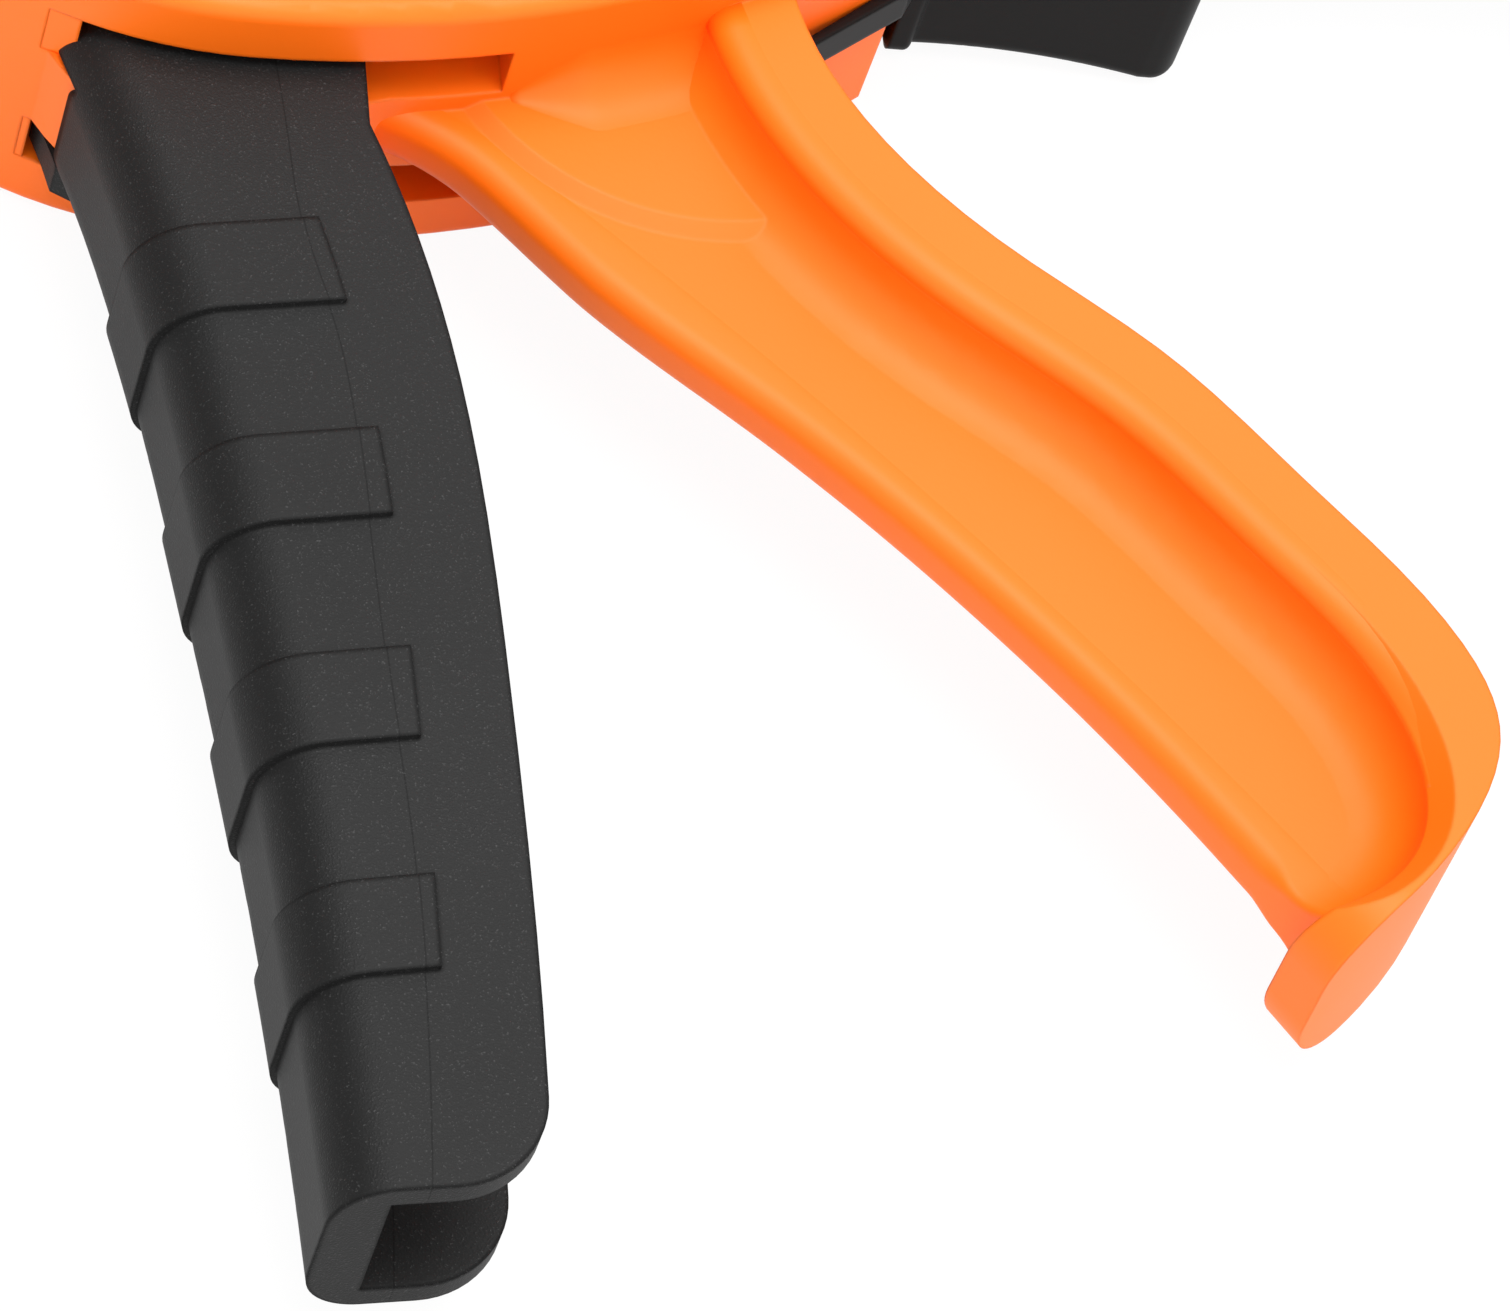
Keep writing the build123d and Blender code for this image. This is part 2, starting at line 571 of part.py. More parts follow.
with BuildPart() as brake_plate:
    with BuildSketch(Plane(brake_frame.origin, x_dir=brake_frame.y_dir,
                           z_dir=brake_frame.x_dir).offset(-BRAKE_THICK / 2)):
        Rectangle(shoulder, BRAKE_WIDTH, align=(Align.MIN, Align.CENTER))
        Rectangle(plate_reach, BRAKE_TONGUE, align=(Align.MIN, Align.CENTER))
        with Locations((bar_height, 0)):
            Rectangle(hole_height, BAR_THICK + 2 * BAR_CLEARANCE, mode=Mode.SUBTRACT)
    extrude(amount=BRAKE_THICK)
    round_bar(BRAKE_EYE, (BRAKE_X, BRAKE_Y), -BRAKE_WIDTH / 2, BRAKE_WIDTH / 2)
    round_bar(ANCHOR_RADIUS + PIVOT_FIT, (BRAKE_X, BRAKE_Y), -BRAKE_WIDTH / 2, BRAKE_WIDTH / 2,
              Mode.SUBTRACT)

with BuildPart() as release_button:
    with BuildSketch(brake_frame):
        with Locations((0, button_start)):
            Rectangle(BUTTON_LENGTH, BUTTON_HEIGHT, align=(Align.CENTER, Align.MIN))
    extrude(amount=BUTTON_WIDTH / 2, both=True)
    fillet(release_button.faces().sort_by(Axis.Y)[-1].edges(), BUTTON_EDGE)
    with BuildSketch(brake_frame):
        with Locations((0, button_start)):
            Rectangle(BRAKE_THICK, plate_reach - button_start, align=(Align.CENTER, Align.MIN))
    extrude(amount=BRAKE_TONGUE / 2, both=True, mode=Mode.SUBTRACT)

with BuildPart() as brake_anchor_pin:
    round_bar(ANCHOR_RADIUS, (BRAKE_X, BRAKE_Y), PIN_RECESS - half_body, half_body - PIN_RECESS)

brake_seat_x = BRAKE_X - BRAKE_THICK / 2 / cos(tilt)
brake_seat_x += (BRAKE_SPRING_Y - BRAKE_SPRING_RADIUS - BRAKE_WIRE - BRAKE_Y) * tan(tilt)
brake_spring_x = spring_rib_x + SPRING_RIB
brake_spring = coil((brake_spring_x, BRAKE_SPRING_Y, 0), (1, 0, 0),
                    brake_seat_x - brake_spring_x, BRAKE_SPRING_RADIUS, BRAKE_WIRE, BRAKE_COILS)

# ---- jaw pads: soft boots with a bead at the base and a flared gripping end ----

with BuildPart() as pad_boot:
    with BuildSketch(Plane.YZ.offset(jaw_front_x)):
        RectangleRounded(PAD_HEIGHT - PAD_WAIST, PAD_WIDTH - PAD_WAIST, PAD_CORNER)
    extrude(amount=PAD_BEAD)
    fillet(pad_boot.faces().sort_by(Axis.X)[-1].edges(), PAD_BEAD / 3)
    for reach, waist in ((PAD_REACH, 2), (PAD_REACH * 0.55, 2), (PAD_EDGE * 1.5, 0)):
        with BuildSketch(Plane.YZ.offset(-reach)):
            RectangleRounded(PAD_HEIGHT - waist * PAD_WAIST, PAD_WIDTH - waist * PAD_WAIST,
                             PAD_CORNER)
    loft()
    with BuildSketch(Plane.YZ.offset(-PAD_EDGE * 1.5)):
        RectangleRounded(PAD_HEIGHT, PAD_WIDTH, PAD_CORNER)
    extrude(amount=PAD_EDGE * 1.5)
    fillet(pad_boot.faces().sort_by(Axis.X)[-1].edges(), PAD_EDGE)
    with BuildSketch(across(jaw_front_x)):
        bar_outline(BAR_CLEARANCE + PAD_SLOT)
    extrude(amount=PAD_REACH, mode=Mode.SUBTRACT)
    with BuildSketch(Plane.YZ.offset(jaw_front_x)):
        with Locations((CORE_Y, 0)):
            RectangleRounded(CORE_HEIGHT, CORE_WIDTH, CORE_WIDTH / 6)
    extrude(amount=CORE_REACH, mode=Mode.SUBTRACT)

with BuildPart() as moving_jaw_pad:
    add(pad_boot.part)
    with BuildSketch(Plane.XY):
        tongue_bend = (toe_x + PAD_SEAT_GAP, toe_low_y - PAD_SEAT_GAP)
        tongue_fall = TONGUE_REACH * tan(radians(toe_turn))
        tongue_end = (tongue_bend[0] - TONGUE_REACH, tongue_bend[1] - tongue_fall)
        Polygon(tongue_end, tongue_bend, (jaw_front_x + PAD_SEAT_GAP, toe_low_y + TOE_RISE),
                (jaw_front_x + PAD_BEAD / 2, toe_low_y + TOE_RISE),
                (jaw_front_x + PAD_BEAD / 2, -PAD_HEIGHT / 2 + PAD_WAIST / 2),
                (tongue_bend[0] + TONGUE_THICK / 2, tongue_bend[1] - TONGUE_THICK),
                (tongue_end[0], tongue_end[1] - TONGUE_THICK), align=None)
    extrude(amount=TONGUE_WIDTH / 2, both=True)

with BuildPart() as fixed_jaw_pad:
    mirror(pad_boot.part, about=Plane.YZ.offset(JAW_OPENING / 2))

# ---- bar and its rear end cap ----

with BuildPart() as bar:
    with BuildSketch(across(bar_rear_x)):
        bar_outline()
    extrude(amount=BAR_LENGTH)
    chamfer(bar.edges().filter_by(Axis.X), BAR_EDGE)
    round_bar(LOCK_RADIUS + LOCK_RUN, (lock_x, BAR_Y), -BAR_THICK, BAR_THICK, Mode.SUBTRACT)
    end_pin_place = (bar_rear_x + (END_CAP_LENGTH - END_CAP_WALL) / 2, BAR_Y)
    round_bar(END_PIN_RADIUS, end_pin_place, -BAR_THICK, BAR_THICK, Mode.SUBTRACT)

with BuildPart() as bar_end_cap:
    with BuildSketch(across(bar_rear_x - END_CAP_WALL)):
        RectangleRounded(BAR_DEPTH + 2 * END_CAP_WALL, BAR_THICK + 2 * END_CAP_WALL, END_CAP_WALL)
    extrude(amount=END_CAP_LENGTH)
    fillet(bar_end_cap.faces().sort_by(Axis.X)[0].edges(), END_CAP_WALL / 2)
    with BuildSketch(across(bar_rear_x)):
        bar_outline()
    extrude(amount=END_CAP_LENGTH, mode=Mode.SUBTRACT)
    round_bar(END_PIN_RADIUS, end_pin_place, -half_body, half_body, Mode.SUBTRACT)

with BuildPart() as end_cap_pin:
    round_bar(END_PIN_RADIUS, end_pin_place, -BAR_THICK / 2 - END_CAP_WALL,
              BAR_THICK / 2 + END_CAP_WALL)

# ---- fixed jaw, and the sprung pin that locks it to the bar ----

lock_place = (lock_x, BAR_Y)
clip_seat_z = -half_body + LOCK_STROKE + CLIP_THICK + 2 * LOCK_RUN
with BuildPart() as fixed_jaw:
    with BuildSketch(Plane.XY):
        with BuildLine():
            column_outline(fixed_base_x, (fixed_back_x, BODY_TOP_Y), 1)
            Polyline((fixed_back_x, BODY_TOP_Y), (fixed_back_x, JAW_FLOOR_Y),
                     (fixed_base_x, JAW_FLOOR_Y), (fixed_base_x, jaw_top_y))
        make_face()
        fillet(vertices().group_by(Axis.Y)[-1].sort_by(Axis.X)[-1], JAW_TIP_DEPTH * 0.6)
        fillet(vertices().group_by(Axis.X)[-1], CORNER_RADIUS)
    extrude(amount=half_body, both=True)
    rim = fixed_jaw.faces().filter_by(Axis.Z).edges()
    fillet(rim.filter_by(lambda edge: edge.center().X > fixed_base_x + 0.1), RIM_RADIUS)
    pad_core(fixed_base_x, -CORE_REACH)
    with BuildSketch(across(bar_front_x)):
        bar_outline()
    extrude(amount=-JAW_BACK_DEPTH - CORE_REACH, mode=Mode.SUBTRACT)
    round_bar(LOCK_RADIUS + LOCK_RUN, lock_place, -half_body, half_body, Mode.SUBTRACT)
    round_bar(LOCK_HEAD_RADIUS + LOCK_RUN, lock_place, lock_floor_z, half_body, Mode.SUBTRACT)
    round_bar(LOCK_HEAD_RADIUS, lock_place, -half_body, clip_seat_z, Mode.SUBTRACT)

with BuildPart() as lock_button:
    round_bar(LOCK_HEAD_RADIUS, lock_place, half_body - LOCK_HEAD, half_body - LOCK_RUN)
    round_bar(LOCK_RADIUS, lock_place, clip_seat_z - CLIP_THICK - LOCK_RUN, half_body - LOCK_HEAD)

with BuildPart() as lock_clip:
    round_bar(CLIP_RADIUS, lock_place, clip_seat_z - CLIP_THICK - LOCK_RUN,
              clip_seat_z - LOCK_RUN)
    round_bar(LOCK_RADIUS, lock_place, clip_seat_z - CLIP_THICK - LOCK_RUN, clip_seat_z,
              Mode.SUBTRACT)

lock_spring = coil((lock_x, BAR_Y, lock_floor_z), (0, 0, 1), LOCK_SPRING_LENGTH - 0.1,
                   LOCK_RADIUS + LOCK_WIRE + LOCK_RUN, LOCK_WIRE, LOCK_COILS)

# ---- one file for each piece ----

pieces = {
    "housing": housing,
    "rear_cap": rear_cap,
    "rear_cap_pins": rear_cap_pins,
    "front_bar_guide": front_bar_guide,
    "squeeze_lever": squeeze_lever,
    "lever_pivot_pin": lever_pivot_pin,
    "pivot_clips": pivot_clips,
    "drive_plate_front": drive_plate_front,
    "drive_plate_rear": drive_plate_rear,
    "drive_spring": drive_spring,
    "brake_plate": brake_plate,
    "release_button": release_button,
    "brake_anchor_pin": brake_anchor_pin,
    "brake_spring": brake_spring,
    "moving_jaw_pad": moving_jaw_pad,
    "bar": bar,
    "bar_end_cap": bar_end_cap,
    "end_cap_pin": end_cap_pin,
    "fixed_jaw": fixed_jaw,
    "fixed_jaw_pad": fixed_jaw_pad,
    "lock_button": lock_button,
    "lock_clip": lock_clip,
    "lock_spring": lock_spring,
}

os.makedirs("parts", exist_ok=True)
for name, piece in pieces.items():
    piece.part.label = name
    export_step(piece.part, f"parts/{name}.step")
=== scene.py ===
import math

import bmesh
import bpy
from mathutils import Matrix, Vector
from mathutils.bvhtree import BVHTree


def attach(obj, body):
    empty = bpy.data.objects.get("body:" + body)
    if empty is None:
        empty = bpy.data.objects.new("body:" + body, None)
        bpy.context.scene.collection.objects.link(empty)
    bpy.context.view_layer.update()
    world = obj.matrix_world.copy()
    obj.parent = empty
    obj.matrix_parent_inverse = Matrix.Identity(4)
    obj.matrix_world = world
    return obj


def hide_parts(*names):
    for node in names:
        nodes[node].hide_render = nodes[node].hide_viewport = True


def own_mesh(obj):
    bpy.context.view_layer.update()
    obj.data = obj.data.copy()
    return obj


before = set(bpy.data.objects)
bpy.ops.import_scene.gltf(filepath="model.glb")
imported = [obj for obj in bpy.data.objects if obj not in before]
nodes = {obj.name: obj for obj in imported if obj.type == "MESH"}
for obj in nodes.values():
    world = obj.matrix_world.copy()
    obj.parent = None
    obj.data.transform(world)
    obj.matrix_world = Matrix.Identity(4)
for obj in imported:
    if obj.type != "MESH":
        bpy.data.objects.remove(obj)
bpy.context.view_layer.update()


# ---- housing ----
# One orange moulding of glass-filled nylon: the body that holds the drive, the moving jaw
# above it and the fixed handle below. It has the fine even skin of a spark-eroded mould and
# picks up faint dust and rub marks.


EDGE_SAMPLES = 6
SPECK_START = 0.62
SPECK_FULL = 0.76
EDGE_FLAT = 0.995
EDGE_TURNED = 0.9
ROUGH_SPREAD = 0.05
ORANGE_PALE = (1.0, 0.165, 0.001)
ORANGE_DEEP = (1.0, 0.152, 0.0005)
ORANGE_SHEEN = (1.0, 0.85, 0.7)


def input_socket(group, name, value):
    """A named number input of a node group, with its usual value."""
    socket = group.interface.new_socket(name=name, in_out="INPUT",
                                        socket_type="NodeSocketFloat")
    socket.default_value = value


def output_socket(group, name, kind="NodeSocketFloat"):
    """A named result of a node group."""
    group.interface.new_socket(name=name, in_out="OUTPUT", socket_type=kind)


def make_grain_group():
    """Normal of a spark-eroded skin on soft edges, and masks of patches, specks and edges."""
    group = bpy.data.node_groups.new("mould_grain", "ShaderNodeTree")
    input_socket(group, "Grain Scale", 2000.0)
    input_socket(group, "Grain Depth", 0.00002)
    input_socket(group, "Edge Radius", 0.0004)
    input_socket(group, "Patch Scale", 25.0)
    output_socket(group, "Normal", "NodeSocketVector")
    output_socket(group, "Patches")
    output_socket(group, "Specks")
    output_socket(group, "Edges")
    tree, link = group.nodes, group.links.new
    into = tree.new("NodeGroupInput")
    out = tree.new("NodeGroupOutput")
    place = tree.new("ShaderNodeTexCoord")
    grain = tree.new("ShaderNodeTexNoise")
    grain.inputs["Detail"].default_value = 2.0
    patches = tree.new("ShaderNodeTexNoise")
    patches.inputs["Detail"].default_value = 3.0
    specks = tree.new("ShaderNodeMapRange")
    specks.inputs["From Min"].default_value = SPECK_START
    specks.inputs["From Max"].default_value = SPECK_FULL
    edge = tree.new("ShaderNodeBevel")
    edge.samples = EDGE_SAMPLES
    bump = tree.new("ShaderNodeBump")
    bump.inputs["Strength"].default_value = 1.0
    plain = tree.new("ShaderNodeNewGeometry")
    same = tree.new("ShaderNodeVectorMath")
    same.operation = "DOT_PRODUCT"
    turned = tree.new("ShaderNodeMapRange")
    turned.interpolation_type = "SMOOTHSTEP"
    turned.inputs["From Min"].default_value = EDGE_FLAT
    turned.inputs["From Max"].default_value = EDGE_TURNED
    for texture, scale in ((grain, "Grain Scale"), (patches, "Patch Scale")):
        link(place.outputs["Object"], texture.inputs["Vector"])
        link(into.outputs[scale], texture.inputs["Scale"])
    link(into.outputs["Edge Radius"], edge.inputs["Radius"])
    link(into.outputs["Grain Depth"], bump.inputs["Distance"])
    link(grain.outputs["Fac"], bump.inputs["Height"])
    link(edge.outputs["Normal"], bump.inputs["Normal"])
    link(grain.outputs["Fac"], specks.inputs["Value"])
    link(bump.outputs["Normal"], out.inputs["Normal"])
    link(patches.outputs["Fac"], out.inputs["Patches"])
    link(specks.outputs["Result"], out.inputs["Specks"])
    link(edge.outputs["Normal"], same.inputs[0])
    link(plain.outputs["Normal"], same.inputs[1])
    link(same.outputs["Value"], turned.inputs["Value"])
    link(turned.outputs["Result"], out.inputs["Edges"])
    return group


mould_grain = make_grain_group()


def moulded(name, pale, deep, rough, grain_scale, grain_depth, edge_radius, specular,
            sheen=(1, 1, 1)):
    """Moulded plastic or rubber: two close colours in soft patches under a grained skin."""
    material = bpy.data.materials.new(name)
    material.use_nodes = True
    tree, link = material.node_tree.nodes, material.node_tree.links.new
    shader = tree["Principled BSDF"]
    shader.inputs["Specular IOR Level"].default_value = specular
    shader.inputs["Specular Tint"].default_value = (*sheen, 1)
    skin = tree.new("ShaderNodeGroup")
    skin.name = "skin"
    skin.node_tree = mould_grain
    skin.inputs["Grain Scale"].default_value = grain_scale
    skin.inputs["Grain Depth"].default_value = grain_depth
    skin.inputs["Edge Radius"].default_value = edge_radius
    tint = tree.new("ShaderNodeMix")
    tint.name = "tint"
    tint.data_type = "RGBA"
    tint.inputs["A"].default_value = (*pale, 1)
    tint.inputs["B"].default_value = (*deep, 1)
    link(skin.outputs["Patches"], tint.inputs["Factor"])
    link(tint.outputs["Result"], shader.inputs["Base Color"])
    spread = tree.new("ShaderNodeMapRange")
    spread.inputs["To Min"].default_value = rough - ROUGH_SPREAD
    spread.inputs["To Max"].default_value = rough + ROUGH_SPREAD
    link(skin.outputs["Patches"], spread.inputs["Value"])
    link(spread.outputs["Result"], shader.inputs["Roughness"])
    link(skin.outputs["Normal"], shader.inputs["Normal"])
    return material


def finish_node(node, material):
    """Puts one material on a CAD node."""
    for slot in nodes[node].material_slots:
        slot.material = material


orange_moulding = moulded("orange_moulding", ORANGE_PALE, ORANGE_DEEP, rough=0.5,
                          grain_scale=1800, grain_depth=0.00001, edge_radius=0.0005,
                          specular=0.55, sheen=ORANGE_SHEEN)
for node in ("housing", "rear_cap", "bar_end_cap", "fixed_jaw"):
    finish_node(node, orange_moulding)

# ---- rolled edge and root of the handle ----
# The free edge of the handle's web is rolled, and flares out into the lip. Where the web
# leaves the body, a hollow blend runs along each side of its root. All one with the housing.

WEB_TOP = (-0.0860, -0.0700)
WEB_BEND = (-0.0746, -0.0754)
WEB_MIDDLE = (-0.0405, -0.1077)
WEB_LIP = (-0.00180, -0.15260)
WEB_HALF = 0.003
ROLL_RADIUS = 0.0022
FLARE_RADIUS = 0.0009
FLARE_FADE = 0.004
HOLLOW = 0.0054
WALL_PROBE = 0.001
ROLL_STEPS = 9
TAIL_START = 0.0026
ROLL_TAIL = (TAIL_START, 0.0030, 0.0034, 0.0038, 0.0044, 0.0050)
TAIL_DROP = 0.2
TOP_STEPS = 16
MAIN_STEPS = 150
# the lip's inner wall, as seen from the side
LIP_WALL = ((0.00500, -0.13819), (0.00519, -0.14114), (0.00506, -0.14266),
            (0.00474, -0.14416), (0.00423, -0.14562), (0.00353, -0.14699),
            (0.00265, -0.14827), (0.00161, -0.14941), (0.00044, -0.15044),
            (-0.00083, -0.15135), (-0.00216, -0.15217), (-0.00357, -0.15286),
            (-0.00650, -0.15410))
# how far the rolled edge stands out from the arc, at even steps from the root to the lip
ROLL_STANDS = (0.00030, 0.00085, 0.00150, 0.00196, 0.00196, 0.00166, 0.00122, 0.00082,
               0.00055, 0.00032, 0.00017, 0.00008, 0.00005, 0.00006, 0.00012, 0.00026,
               0.00046, 0.00070, 0.00098, 0.00115, 0.00115)
# distance in from the edge, and height of the skin over the web there
SINK = ((-0.0030, 0.00008), (0.0020, 0.00008), (0.0030, 0.00003), (0.0040, -0.00010),
        (0.0050, -0.00030))
ROOT_CENTRE = (-0.0955, 0.0312)
ROOT_RADIUS = 0.103
ROOT_START = -0.0705
ROOT_END = -0.0500
ROOT_HALF = 0.004
ROOT_HOLLOW = 0.0052
ROOT_STEPS = 23
ROOT_ARC_STEPS = 8
ROOT_CORNER = (-0.0005, -0.0005)
# how far each tail runs beyond the hollow, and how deep it lies under the wall
ROOT_TAIL = ((0.0012, 0.00008), (0.0022, 0.0005))


def solid_piece(name, work, body, material, smooth=True):
    """Turns a finished bmesh into a piece that rides on a body."""
    bmesh.ops.recalc_face_normals(work, faces=work.faces)
    for face in work.faces:
        face.smooth = smooth
    mesh = bpy.data.meshes.new(name)
    work.to_mesh(mesh)
    work.free()
    mesh.materials.append(material)
    piece = bpy.data.objects.new(name, mesh)
    bpy.context.scene.collection.objects.link(piece)
    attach(piece, body)
    return piece


def drawn_through(rings):
    """Closed skin drawn through a row of rings and capped at both ends."""
    work = bmesh.new()
    loops = []
    for ring in rings:
        corners = [work.verts.new(spot) for spot in ring]
        loops.append([work.edges.new((corners[i - 1], corners[i]))
                      for i in range(len(corners))])
    for first, second in zip(loops, loops[1:]):
        bmesh.ops.bridge_loops(work, edges=first + second)
    for end in (loops[0], loops[-1]):
        bmesh.ops.edgeloop_fill(work, edges=end)
    return work


def circle_through(first, second, third):
    """Centre of the circle through three flat points."""
    a, b = Vector(second) - Vector(first), Vector(third) - Vector(first)
    cross = 2 * (a.x * b.y - a.y * b.x)
    across = Vector((b.y * a.length_squared - a.y * b.length_squared,
                     a.x * b.length_squared - b.x * a.length_squared)) / cross
    return Vector(first) + across


def arc_places(centre, start, stop, count):
    """Points along an arc from start to stop, each with the way on."""
    reach = Vector(start) - centre
    sweep = reach.angle_signed(Vector(stop) - centre)
    places = []
    for step in range(count):
        turn = Matrix.Rotation(-sweep * step / (count - 1), 2)
        arm = turn @ reach
        way = Vector((arm.y, -arm.x)).normalized() * math.copysign(1, sweep)
        places.append((centre + arm, way))
    return places


def to_lip_wall(place):
    """How far a point of the web is from the lip's inner wall, nought beyond it."""
    nearest = 1.0
    for first, second in zip(LIP_WALL, LIP_WALL[1:]):
        run = Vector(second) - Vector(first)
        share = (place - Vector(first)).dot(run) / run.length_squared
        gap = place - Vector(first) - run * min(max(share, 0), 1)
        side = run.x * gap.y - run.y * gap.x
        nearest = min(nearest, math.copysign(gap.length, -side), key=abs)
    return max(nearest, 0)


def eased(share):
    """Share from 0 to 1, kept within them, that starts and ends gently."""
    share = min(max(share, 0), 1)
    return share * share * (3 - 2 * share)


def between(a, b, c, d, t):
    """Smooth step from b to c, with the values before and after them."""
    return b + t * ((c - a) / 2 + t * (a - 2.5 * b + 2 * c - d / 2
                                       + t * ((d - a) / 2 + 1.5 * (b - c))))


def web_height(place, back):
    """Half thickness of the web at a point, with the hollow that leads up to the lip."""
    left = max(HOLLOW - to_lip_wall(place) - back, 0)
    return WEB_HALF + HOLLOW - math.sqrt(HOLLOW ** 2 - left ** 2)


def sunk(inside):
    """How far the rolled edge's skin stands above the web at a distance from the edge."""
    for first, second in zip(SINK, SINK[1:]):
        if inside <= second[0]:
            share = (inside - first[0]) / (second[0] - first[0])
            return first[1] + share * (second[1] - first[1])
    return SINK[-1][1]


def stands(share):
    """How far the rolled edge stands out from the arc, smoothly between measured places."""
    spot = share * (len(ROLL_STANDS) - 1)
    first = min(int(spot), len(ROLL_STANDS) - 2)
    return between(*(ROLL_STANDS[min(max(i, 0), len(ROLL_STANDS) - 1)]
                     for i in range(first - 1, first + 3)), spot - first)


def roll_ring(place, way, proud):
    """Section across the rolled edge: round outside, sunk into the web inside."""
    inward = Vector((-way.y, way.x))
    near_wall = to_lip_wall(place + inward * WALL_PROBE)
    blend = eased((HOLLOW + FLARE_FADE - near_wall) / FLARE_FADE)
    radius = ROLL_RADIUS + (FLARE_RADIUS - ROLL_RADIUS) * blend
    upper = []
    for step in range(ROLL_STEPS):
        turn = math.pi / 2 * (1 - step / (ROLL_STEPS - 1))
        inside = radius - radius * math.sin(turn) - proud
        upper.append((inside, radius - radius * math.cos(turn)))
    upper += [(inside, 0) for inside in ROLL_TAIL]
    outline = []
    for inside, below in upper:
        spot = place + inward * inside
        back = max(inside - TAIL_START, 0) * TAIL_DROP
        high = web_height(spot, back) + sunk(inside) - below
        outline.append((spot.x, spot.y, high))
    return outline + [(x, y, -high) for x, y, high in reversed(outline)]


main_centre = circle_through(WEB_BEND, WEB_MIDDLE, WEB_LIP)
main_arc = arc_places(main_centre, WEB_BEND, WEB_LIP, MAIN_STEPS)
chord = Vector(WEB_TOP) - Vector(WEB_BEND)
normal = (Vector(WEB_BEND) - main_centre).normalized()
top_centre = Vector(WEB_BEND) + normal * chord.length_squared / (2 * chord.dot(normal))
top_arc = arc_places(top_centre, WEB_TOP, WEB_BEND, TOP_STEPS)
rings = [roll_ring(place, way, ROLL_STANDS[0] * step / TOP_STEPS)
         for step, (place, way) in enumerate(top_arc[:-1])]
rings += [roll_ring(place, way, stands(step / (len(main_arc) - 1)))
          for step, (place, way) in enumerate(main_arc)]
solid_piece("web_rolled_edge", drawn_through(rings), "housing",
            orange_moulding)

for side, word in ((1, "near"), (-1, "far")):
    rings = []
    for step in range(ROOT_STEPS + 1):
        x = ROOT_START + (ROOT_END - ROOT_START) * step / ROOT_STEPS
        drop = math.sqrt(ROOT_RADIUS ** 2 - (x - ROOT_CENTRE[0]) ** 2)
        down = Vector((x - ROOT_CENTRE[0], -drop)) / ROOT_RADIUS
        corner = Vector(ROOT_CENTRE) + down * ROOT_RADIUS
        hollow = ROOT_HOLLOW * min(0.1 + step / 8, 1)
        ring = []
        for part in range(ROOT_ARC_STEPS + 1):
            turn = math.pi / 2 * part / ROOT_ARC_STEPS
            ring.append((hollow - hollow * math.sin(turn), hollow - hollow * math.cos(turn)))
        ring += [(-under, hollow + beyond) for beyond, under in ROOT_TAIL]
        ring = [(hollow + beyond, -under) for beyond, under in reversed(ROOT_TAIL)] + ring
        ring.append(ROOT_CORNER)
        rings.append([(corner.x + down.x * fall, corner.y + down.y * fall,
                       side * (ROOT_HALF + high)) for fall, high in ring])
    solid_piece(f"web_root_{word}", drawn_through(rings), "housing",
                orange_moulding)

# ---- inner edges of the handle's flange ----
# The flange's two inner edges are rounded from the body to the bend before the lip, where
# the rounding dies out. Each strip lies over the flange's own edge and sinks into it there.

EDGE_GUIDE = ((-0.0518, -0.0645), (-0.0502, -0.0698), (-0.0446, -0.0809),
              (-0.0363, -0.0900), (-0.0266, -0.0977), (-0.0172, -0.1057),
              (-0.0091, -0.1151), (-0.0012, -0.1246), (0.0022, -0.1298),
              (0.0047, -0.1355), (0.0052, -0.1405))
EDGE_STEPS = 10
EDGE_FADE = 40
WALL_Z = 0.0088
FACE_Z = 0.0110
EDGE_RUN = 0.0022
EDGE_DEPTH = 0.0018
EDGE_PROUD = 0.00005
EDGE_SINK = 0.00012
EDGE_UNDER = 0.0001
EDGE_TURNS = 8
# distance into the flange and height of the tail under the wall, and of that under the face
WALL_TAIL = ((0.0009, 0.0072), (0.0002, 0.0081), (0.00004, 0.0086))
FACE_TAIL = ((0.0036, 0.01092), (0.0042, 0.0107), (0.0042, 0.0080))
FACE_MEET = 0.0029
FACE_PROUD = 0.00004
RAY_START = 0.004
SMOOTHINGS = 3
START_RUN = 0.004


def through(points, steps):
    """Smooth line through given points, with a number of steps between each two."""
    line = []
    for i in range(len(points) - 1):
        four = [Vector(points[min(max(j, 0), len(points) - 1)]) for j in range(i - 1, i + 3)]
        line += [between(*four, step / steps) for step in range(steps)]
    return line + [Vector(points[-1])]


def edge_section(bulge):
    """Section across the flange's inner edge: distance into the flange, and height."""
    low = FACE_Z - EDGE_DEPTH
    section = [*WALL_TAIL, (-EDGE_PROUD, low)]
    for step in range(1, EDGE_TURNS + 1):
        turn = math.pi / 2 * step / EDGE_TURNS
        round_in = EDGE_RUN * (1 - math.cos(turn)) - EDGE_PROUD * math.cos(turn)
        round_up = low + (EDGE_DEPTH + EDGE_PROUD) * math.sin(turn)
        flat_in = EDGE_RUN * step / EDGE_TURNS
        flat_up = low + EDGE_DEPTH * step / EDGE_TURNS - EDGE_UNDER
        section.append((round_in * bulge + flat_in * (1 - bulge),
                        round_up * bulge + flat_up * (1 - bulge)))
    meet = (FACE_MEET, FACE_Z + FACE_PROUD * bulge - EDGE_UNDER * (1 - bulge))
    return section + [meet, *FACE_TAIL]


